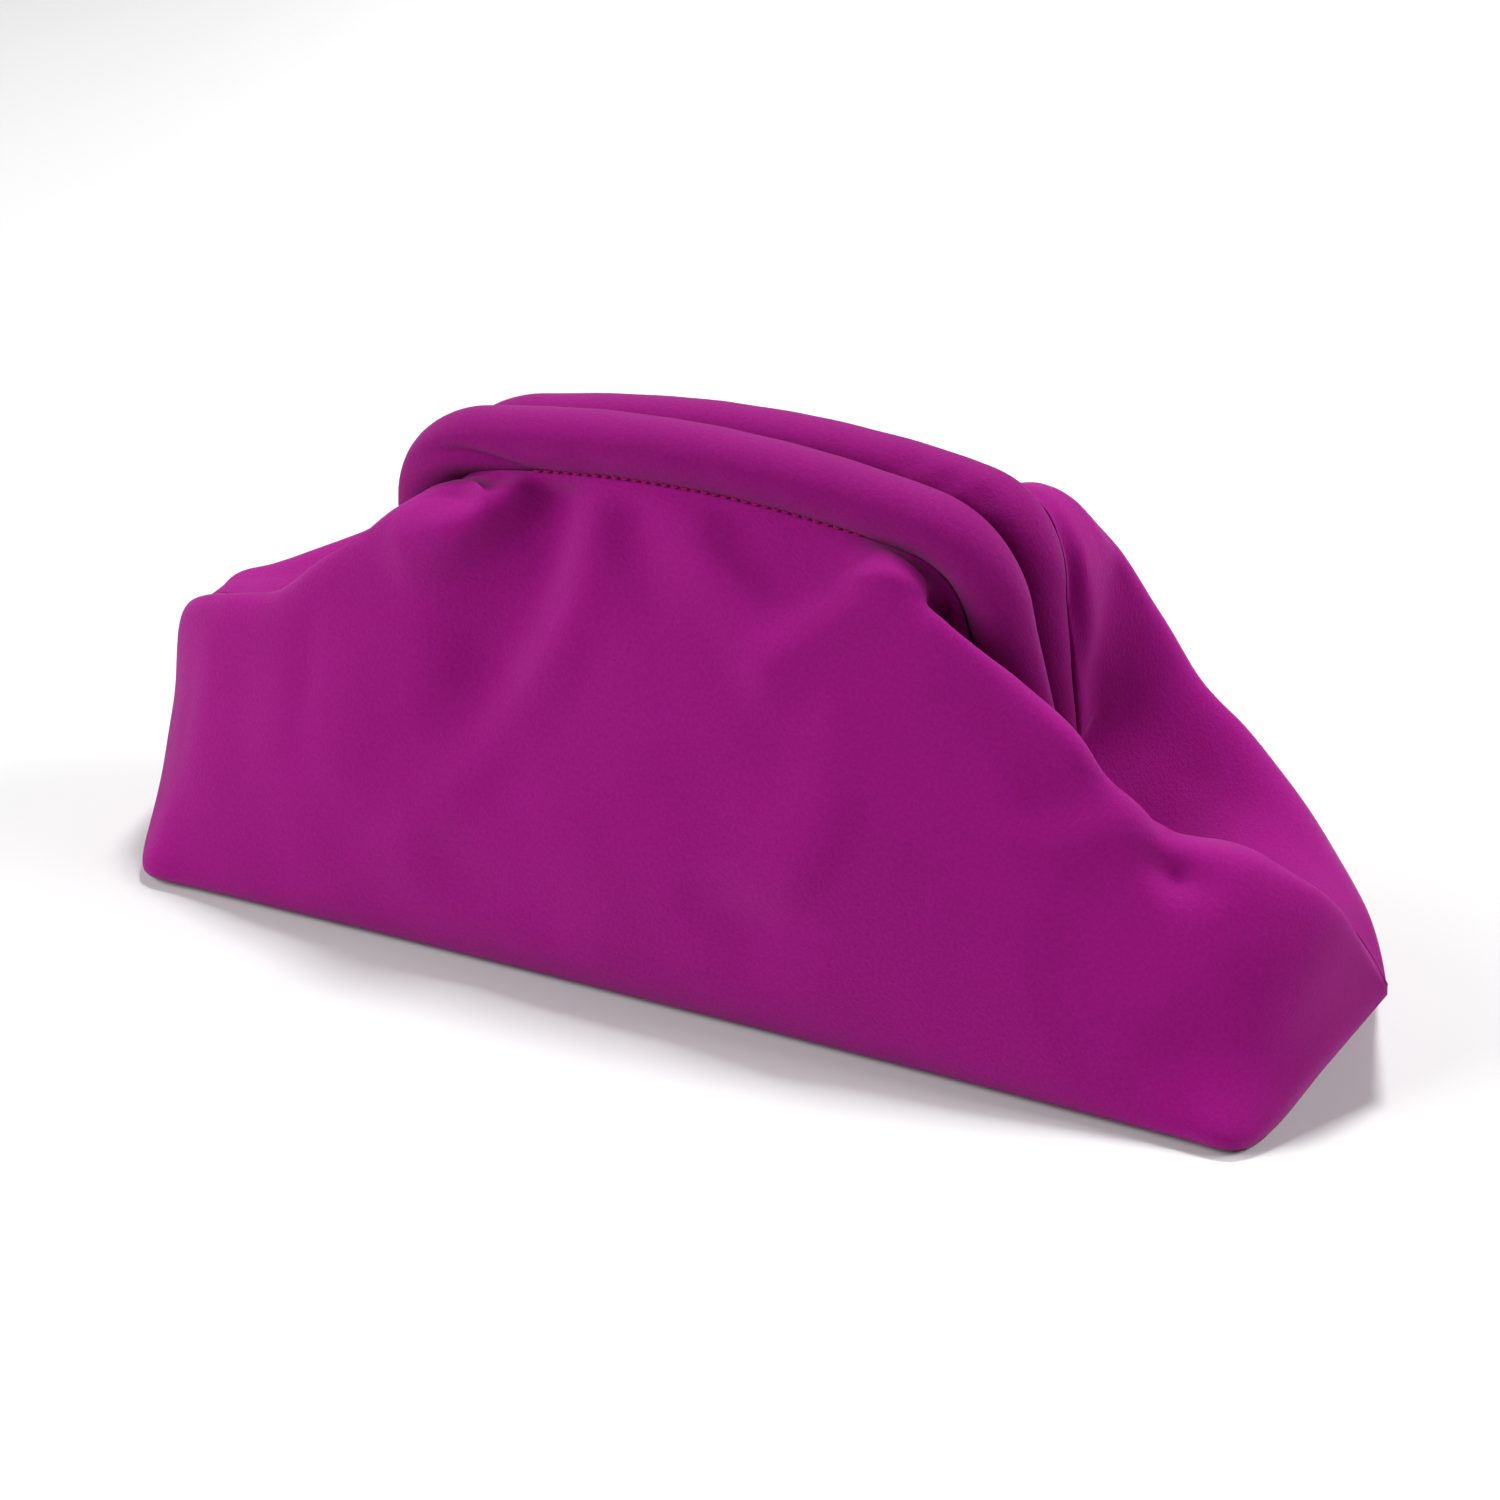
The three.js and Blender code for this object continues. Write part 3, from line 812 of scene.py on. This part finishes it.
@dataclass
class PaddedRoll:
    """A padded roll of the frame: an oval profile carried along the frame's line, with rounded ends."""

    face: Face
    roll: RollFrame
    dents: tuple[Dent, ...]
    end_round: float = 6
    sides: int = 48
    steps: int = 360
    crowding: float = 1.15
    tip_share: float = 0.99995
    lump: float = 0.04
    long_lump: Pair = (0.21, 2.0)
    short_lump: Pair = (0.37, 3.0)

    def surface(self) -> tuple[Array, Array]:
        """Rings round the centre line.

        A ring is the oval (half height cos t, half depth sin t), shrunk to a round end, pressed in
        by the dents and by a faint unevenness of the padding. That is two sines, each with a rate
        along the roll and a twist round it.

        Returns:
            Points of shape (stations, sides, 3) and the stations' lengths along the line.
        """
        half = self.roll.half_length
        span = np.linspace(-1.0, 1.0, self.steps)
        along = half * np.sign(span) * (1 - (1 - np.abs(span)) ** self.crowding)
        along[[0, -1]] *= self.tip_share
        line, normal = self.roll.centre_line(along, self.face)
        depth = self.roll.depth_at(along)
        past = np.maximum(np.abs(along) - half + self.end_round, 0.0) / self.end_round
        shrink = np.sqrt(np.maximum(1.0 - past ** 2, 0.0))
        t = 2 * np.pi * np.arange(self.sides) / self.sides
        turn = np.degrees(t)
        press = np.zeros((len(along), self.sides))
        for dent in self.dents:
            ahead = along[:, None] - dent.along
            round_gap = (turn[None, :] - dent.turn - dent.lean * ahead + 180.0) % 360.0 - 180.0
            arc = np.radians(round_gap) * self.roll.half_height
            far = np.square(ahead / dent.length) + np.square(arc / dent.width)
            press += dent.depth * np.exp(-far)
        wave, twist = self.long_lump
        press += self.lump * np.sin(wave * along[:, None] + twist * np.sin(t)[None, :] + self.face.value)
        wave, twist = self.short_lump
        press += self.lump * np.sin(wave * along[:, None] - twist * np.cos(t)[None, :])
        tall = (self.roll.half_height - press) * shrink[:, None]
        deep = (depth[:, None] - press * depth[:, None] / self.roll.half_height) * shrink[:, None]
        lift = -tall * np.cos(t)
        out = depth[:, None] + self.roll.apart / 2 + deep * np.sin(t)
        flat = line[:, None, :] + normal[:, None, :] * lift[..., None]
        return np.stack([flat[..., 0], self.face.value * out, flat[..., 1]], axis=-1), along

    def build(self) -> bpy.types.Object:
        """Makes the roll: rings joined along the line, each end shut by a fan to its middle.

        Returns:
            The roll's object.
        """
        points, along = self.surface()
        stations, sides = points.shape[:2]
        flip = self.face is Face.BACK
        i, j = grid_corners(stations, sides + 1, flip)
        faces = (i * sides + j % sides).tolist()
        girth = 2 * np.pi * self.roll.half_height / sides
        corner_uv = np.stack([along[i], j * girth], axis=-1).reshape(-1, 2)
        ends = points[[0, -1]].mean(axis=1)
        count = stations * sides
        k = np.arange(sides)
        fan_left = np.stack([np.full(sides, count), k, (k + 1) % sides], axis=-1)
        last = (stations - 1) * sides
        fan_right = np.stack([np.full(sides, count + 1), last + (k + 1) % sides, last + k], axis=-1)
        fans = np.concatenate([fan_left, fan_right])
        fans = fans[:, ::-1] if flip else fans
        faces += fans.tolist()
        round_uv = np.tile(np.repeat(k, 3), 2) * girth
        fan_uv = np.stack([np.repeat(along[[0, -1]], 3 * sides), round_uv], axis=-1)
        corner_uv = np.concatenate([corner_uv, fan_uv]) * MM
        name = "back_padded_roll" if flip else "front_padded_roll"
        return make_piece(name, np.concatenate([points.reshape(-1, 3), ends]), faces, corner_uv)

    def dress(self, piece: bpy.types.Object, material: bpy.types.Material) -> None:
        """Gives the roll its cloth, fixes it to the root body and hides the CAD roll it stands in for.

        Args:
            piece: The roll's object.
            material: The roll cloth, which is the panel cloth painted darker as shade.
        """
        piece.data.materials.append(material)
        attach(piece, "root")
        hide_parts("front_roll" if self.face is Face.FRONT else "back_roll")


@dataclass
class StitchRow:
    """The row of stitches that holds the front panel to its roll, each a small thread tube."""

    roll: RollFrame
    start: float = -46
    stop: float = 48
    turn: float = 44
    off: float = 0.25
    pitch: float = 2.9
    length: float = 2.3
    radius: float = 0.26
    bow: float = 0.3
    sink: float = 0.15
    taper: float = 0.06
    blunt: float = 0.1
    probe_out: float = 1.0
    probe_along: float = 0.5
    sides: int = 6
    rings: int = 5

    def surface(self) -> tuple[Array, Array]:
        """Rings of all stitches: circles about an arc that rises by sin(pi t) from one end to the other.

        Returns:
            Points of shape (stitches, rings, sides, 3) and the rings' lengths along the roll.
        """
        first = np.arange(self.start, self.stop, self.pitch)
        t = np.linspace(0.0, 1.0, self.rings)
        along = first[:, None] + self.length * t[None, :]
        turn = np.full(along.shape, float(self.turn))
        near = self.roll.beside(along, turn, Face.FRONT, self.off)
        out = self.roll.beside(along, turn, Face.FRONT, self.off + self.probe_out) - near
        out = out / np.linalg.norm(out, axis=-1, keepdims=True)
        ahead = self.roll.beside(along + self.probe_along, turn, Face.FRONT, self.off) - near
        ahead = ahead / np.linalg.norm(ahead, axis=-1, keepdims=True)
        across = np.cross(out, ahead)
        rise = (self.bow * np.sin(np.pi * t) - self.sink)[None, :, None]
        swell = np.sin(np.pi * (self.taper + (1.0 - 2.0 * self.taper) * t))
        thin = self.radius * np.sqrt(np.maximum(swell, self.blunt))[None, :, None, None]
        angle = 2 * np.pi * np.arange(self.sides) / self.sides
        circle = np.cos(angle)[:, None] * out[..., None, :] + np.sin(angle)[:, None] * across[..., None, :]
        return (near + out * rise)[..., None, :] + thin * circle, along

    def build(self) -> bpy.types.Object:
        """Makes the row: each stitch's rings joined along it and its two ends shut.

        Returns:
            The row's object.
        """
        points, along = self.surface()
        count, rings, sides = points.shape[:3]
        i, j = grid_corners(rings, sides + 1, False)
        one = i * sides + j % sides
        first = np.arange(count) * rings * sides
        faces = (first[:, None, None] + one).reshape(-1, 4).tolist()
        girth = 2 * np.pi * self.radius / sides
        round_uv = np.broadcast_to(j * girth, (count,) + j.shape)
        corner_uv = np.stack([along[:, i], round_uv], axis=-1).reshape(-1, 2)
        k = np.arange(sides)
        near_end = (first[:, None] + k).tolist()
        far_end = (first[:, None] + (rings - 1) * sides + k[::-1]).tolist()
        faces += near_end + far_end
        end_along = np.repeat(along[:, [0, -1]].T.ravel(), sides)
        end_uv = np.stack([end_along, np.tile(k * girth, 2 * count)], axis=-1)
        corner_uv = np.concatenate([corner_uv, end_uv]) * MM
        return make_piece("roll_stitches", points.reshape(-1, 3), faces, corner_uv)

    def dress(self, piece: bpy.types.Object, material: bpy.types.Material) -> None:
        """Gives the stitches their thread and fixes them to the bag.

        Args:
            piece: The row's object.
            material: The thread.
        """
        piece.data.materials.append(material)
        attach(piece, "root")


class Wire:
    """An output socket of a shader node, with arithmetic that adds Math nodes."""

    def __init__(self, board: "Board", socket: bpy.types.NodeSocket) -> None:
        """Keeps the board that owns the socket, and the socket."""
        self.board = board
        self.socket = socket

    def math(self, operation: str, first: "Wire | float", second: "Wire | float") -> "Wire":
        """Adds one Math node and gives its output."""
        return self.board.node("ShaderNodeMath", {"operation": operation}, {0: first, 1: second})

    def __add__(self, other: "Wire | float") -> "Wire":
        """Sum of two values."""
        return self.math("ADD", self, other)

    def __radd__(self, other: float) -> "Wire":
        """Sum with a number on the left."""
        return self.math("ADD", other, self)

    def __sub__(self, other: "Wire | float") -> "Wire":
        """Difference of two values."""
        return self.math("SUBTRACT", self, other)

    def __rsub__(self, other: float) -> "Wire":
        """A number less this value."""
        return self.math("SUBTRACT", other, self)

    def __mul__(self, other: "Wire | float") -> "Wire":
        """Product of two values."""
        return self.math("MULTIPLY", self, other)

    def __rmul__(self, other: float) -> "Wire":
        """Product with a number on the left."""
        return self.math("MULTIPLY", other, self)

    def sine(self) -> "Wire":
        """Sine of this value in radians."""
        return self.math("SINE", self, 0.0)


class Board:
    """The node tree of one material. Every node in it comes from the method node."""

    def __init__(self, name: str) -> None:
        """Makes an empty material.

        Args:
            name: The material's name.
        """
        self.material = bpy.data.materials.new(name)
        self.material.use_nodes = True
        self.tree = self.material.node_tree
        self.tree.nodes.clear()

    def node(self, kind: str, settings: dict, sockets: dict, output: int | str = 0) -> Wire:
        """Adds one node.

        Args:
            kind: The node's type.
            settings: Properties of the node, set first.
            sockets: Values, or wires to link, by socket name or number.
            output: Name or number of the output to give back.

        Returns:
            The output's wire.
        """
        made = self.tree.nodes.new(kind)
        for key, value in settings.items():
            setattr(made, key, value)
        for key, value in sockets.items():
            if isinstance(value, Wire):
                self.tree.links.new(value.socket, made.inputs[key])
            else:
                made.inputs[key].default_value = value
        return Wire(self, made.outputs[output] if made.outputs else None)

    def noise(self, place: Wire, scale: float, detail: float = 2.0, roughness: float = 0.5) -> Wire:
        """Adds a noise from 0 to 1.

        Args:
            place: Coordinates to read it at.
            scale: Noise cells in a metre.
            detail: Number of finer layers.
            roughness: Weight of each finer layer.

        Returns:
            The noise's value.
        """
        sockets = {"Vector": place, "Scale": scale, "Detail": detail, "Roughness": roughness}
        return self.node("ShaderNodeTexNoise", {}, sockets)

    def mix_colours(self, share: Wire, low: Wire | tuple, high: Wire | tuple) -> Wire:
        """Mixes two colours by a share from 0 to 1.

        Args:
            share: Share of the second colour.
            low: First colour.
            high: Second colour.

        Returns:
            The mixed colour.
        """
        sockets = {"Factor": share, 6: low, 7: high}
        return self.node("ShaderNodeMix", {"data_type": "RGBA"}, sockets, 2)


@dataclass(frozen=True)
class ClothFinish:
    """A fine matte cloth with a short nap: its colours, weave and sheen."""

    name: str
    deep: Quad = (0.212, 0.0003, 0.128, 1)
    pale: Quad = (0.302, 0.0012, 0.193, 1)
    pitch: float = 0.00046
    weave_tint: float = 0.16
    weave_rise: float = 0.45
    weave_depth: float = 0.00015
    weave_strength: float = 0.5
    grain_scale: float = 0.8
    grain_weight: float = 0.6
    grain_tint: float = 1.1
    grain_rise: float = 2.0
    grain_rough: float = 0.10
    fleck_scale: float = 0.42
    fleck_tint: float = 1.3
    fleck_rise: float = 2.4
    cloud_scale: float = 38.0
    cloud_layers: float = 3.0
    cloud_tint: float = 0.55
    cloud_rough: float = 0.06
    roughness: float = 0.58
    specular: float = 0.02
    sheen: float = 0.11
    sheen_roughness: float = 0.60
    sheen_tint: Quad = (1.0, 0.70, 0.97, 1)

    def material(self) -> bpy.types.Material:
        """Cloth shader on the piece's own cloth coordinates.

        The weave is the product of two sines at the thread pitch, roughened by a fine grain and a
        coarser fleck. They and a slow cloudiness mix the two colours. Grain and cloudiness move the
        roughness a little.

        Returns:
            The material.
        """
        board = Board(self.name)
        cloth = board.node("ShaderNodeUVMap", {"uv_map": "cloth"}, {})
        parts = board.node("ShaderNodeSeparateXYZ", {}, {0: cloth})
        u = parts
        v = Wire(board, parts.socket.node.outputs[1])
        turns = 2 * math.pi / self.pitch
        weave = (u * turns).sine() * (v * turns).sine()
        grain = board.noise(cloth, self.grain_scale / self.pitch, roughness=self.grain_weight) - 0.5
        cloud = board.noise(cloth, self.cloud_scale, self.cloud_layers) - 0.5
        fleck = board.noise(cloth, self.fleck_scale / self.pitch) - 0.5
        tint = self.weave_tint * weave + grain * self.grain_tint + fleck * self.fleck_tint
        colour = board.mix_colours(0.5 + tint + cloud * self.cloud_tint, self.deep, self.pale)
        height = self.weave_rise * weave + grain * self.grain_rise + fleck * self.fleck_rise
        relief = {"Height": height, "Strength": self.weave_strength, "Distance": self.weave_depth}
        bump = board.node("ShaderNodeBump", {}, relief)
        shader = board.node(
            "ShaderNodeBsdfPrincipled",
            {},
            {
                "Base Color": colour,
                "Roughness": self.roughness + self.grain_rough * grain + self.cloud_rough * cloud,
                "Normal": bump,
                "Specular IOR Level": self.specular,
                "Sheen Weight": self.sheen,
                "Sheen Roughness": self.sheen_roughness,
                "Sheen Tint": self.sheen_tint,
            },
        )
        board.node("ShaderNodeOutputMaterial", {}, {"Surface": shader})
        return board.material


PANEL_CLOTH = ClothFinish("panel_cloth")
# The roll cloth is the panel cloth painted about a fifth darker. This is painted shade that keeps the roll
# tops, which the top light strikes, as dark as the panels.
SHADED_ROLL_CLOTH = ClothFinish(
    "roll_cloth", deep=(0.167, 0.0003, 0.100, 1), pale=(0.239, 0.0010, 0.151, 1), sheen=0.09
)
SEAM_THREAD = ClothFinish(
    "seam_thread", deep=(0.26, 0.0006, 0.075, 1), pale=(0.40, 0.003, 0.12, 1), pitch=0.0003, sheen=0.06
)


@dataclass(frozen=True)
class FloorFinish:
    """A plain pale studio floor with a faint unevenness."""

    name: str = "studio_floor"
    low: Quad = (0.61, 0.61, 0.61, 1)
    high: Quad = (0.63, 0.63, 0.63, 1)
    cloud_scale: float = 3.0
    roughness: float = 0.9
    specular: float = 0.1

    def material(self) -> bpy.types.Material:
        """Matte pale paint, mixed from two near shades by a slow noise.

        Returns:
            The material.
        """
        board = Board(self.name)
        place = board.node("ShaderNodeTexCoord", {}, {}, "Object")
        colour = board.mix_colours(board.noise(place, self.cloud_scale), self.low, self.high)
        paint = {"Base Color": colour, "Roughness": self.roughness, "Specular IOR Level": self.specular}
        shader = board.node("ShaderNodeBsdfPrincipled", {}, paint)
        board.node("ShaderNodeOutputMaterial", {}, {"Surface": shader})
        return board.material


@dataclass(frozen=True)
class SoftLight:
    """A square soft box: where it hangs and looks, its side, its power and its spread in degrees."""

    name: str
    place: Triple
    aim: Triple
    side: float
    power: float
    spread: float = 180.0

    def build(self) -> None:
        """Hangs the light and turns it to its aim."""
        data = bpy.data.lights.new(self.name, "AREA")
        data.shape = "SQUARE"
        data.size = self.side
        data.energy = self.power
        data.spread = math.radians(self.spread)
        lamp = bpy.data.objects.new(self.name, data)
        lamp.location = self.place
        lamp.rotation_euler = (Vector(self.aim) - Vector(self.place)).to_track_quat("-Z", "Y").to_euler()
        bpy.context.scene.collection.objects.link(lamp)


@dataclass
class Studio:
    """Pale floor, soft light and the camera, in metres."""

    floor_half: float = 6.0
    sky: float = 0.10
    lights: tuple[SoftLight, ...] = (
        SoftLight("top", (0.0, 0.54, 1.62), (0.0, 0.0, 0.05), 0.30, 26.0),
        SoftLight("right", (1.3, 0.4, 1.05), (0.0, 0.0, 0.05), 0.7, 20.0),
        SoftLight("far floor", (0.5, 1.7, 1.5), (0.5, 1.7, 0.0), 1.4, 45.0, 75.0),
        SoftLight("left", (-0.97, -0.9, 0.84), (0.0, 0.0, 0.06), 1.1, 25.0),
    )
    camera_target: Triple = (0.0, 0.0, 0.070)
    camera_azimuth: float = 27.0
    camera_elevation: float = 25.0
    camera_distance: float = 1.02948
    sensor: float = 36.0
    lens: float = 95.0
    shift: Pair = (0.0056, -0.03828)

    def build(self, finish: FloorFinish) -> bpy.types.Object:
        """Lays the floor, hangs the lights, sets the sky and stands the camera.

        Args:
            finish: The floor's finish.

        Returns:
            The floor's object.
        """
        half = self.floor_half / MM
        corners = np.array([[-half, -half, 0], [half, -half, 0], [half, half, 0], [-half, half, 0]])
        floor = make_piece("floor", corners, [[0, 1, 2, 3]], corners[:, :2] * MM)
        floor.data.materials.append(finish.material())
        for light in self.lights:
            light.build()
        world = bpy.data.worlds.new("studio")
        world.use_nodes = True
        backdrop = world.node_tree.nodes["Background"]
        backdrop.inputs["Color"].default_value = (1.0, 1.0, 1.0, 1.0)
        backdrop.inputs["Strength"].default_value = self.sky
        bpy.context.scene.world = world
        bpy.context.scene.view_settings.view_transform = "Standard"
        self.stand_camera()
        return floor

    def stand_camera(self) -> None:
        """Stands the camera at its angle and distance from the target, looking at it."""
        turn, rise = math.radians(self.camera_azimuth), math.radians(self.camera_elevation)
        back = Vector((math.sin(turn) * math.cos(rise), -math.cos(turn) * math.cos(rise), math.sin(rise)))
        data = bpy.data.cameras.new("camera")
        data.sensor_width = self.sensor
        data.lens = self.lens
        data.shift_x, data.shift_y = self.shift
        camera = bpy.data.objects.new("camera", data)
        camera.location = Vector(self.camera_target) + back * self.camera_distance
        camera.rotation_euler = (-back).to_track_quat("-Z", "Y").to_euler()
        bpy.context.scene.collection.objects.link(camera)
        bpy.context.scene.camera = camera


def report(piece: bpy.types.Object) -> None:
    """Reports a finished piece."""
    LOG.info("%s: %d faces", piece.name, len(piece.data.polygons))


def main() -> None:
    """Builds the bag's pieces in order, dresses them and sets the studio."""
    logging.basicConfig(level=logging.INFO, format="%(name)s: %(message)s")
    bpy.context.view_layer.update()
    roll_frame = RollFrame()
    # The roll cloth is painted darker than the panel cloth, as shade on the lit roll tops.
    panel_cloth, roll_cloth = PANEL_CLOTH.material(), SHADED_ROLL_CLOTH.material()
    for face, dents in ((Face.FRONT, FRONT_DENTS), (Face.BACK, BACK_DENTS)):
        roll = PaddedRoll(face, roll_frame, dents)
        piece = roll.build()
        roll.dress(piece, roll_cloth)
        report(piece)
    for face, folds, holds in ((Face.FRONT, FRONT_FOLDS, FRONT_HOLDS), (Face.BACK, BACK_FOLDS, BACK_HOLDS)):
        panel = ClothPanel(face, roll_frame, folds, holds)
        piece = panel.build()
        panel.dress(piece, panel_cloth, ["front_padded_roll" if face is Face.FRONT else "back_padded_roll"])
        report(piece)
    stitches = StitchRow(roll_frame)
    piece = stitches.build()
    stitches.dress(piece, SEAM_THREAD.material())
    report(piece)
    report(Studio().build(FloorFinish()))


if __name__ == "__main__":
    main()
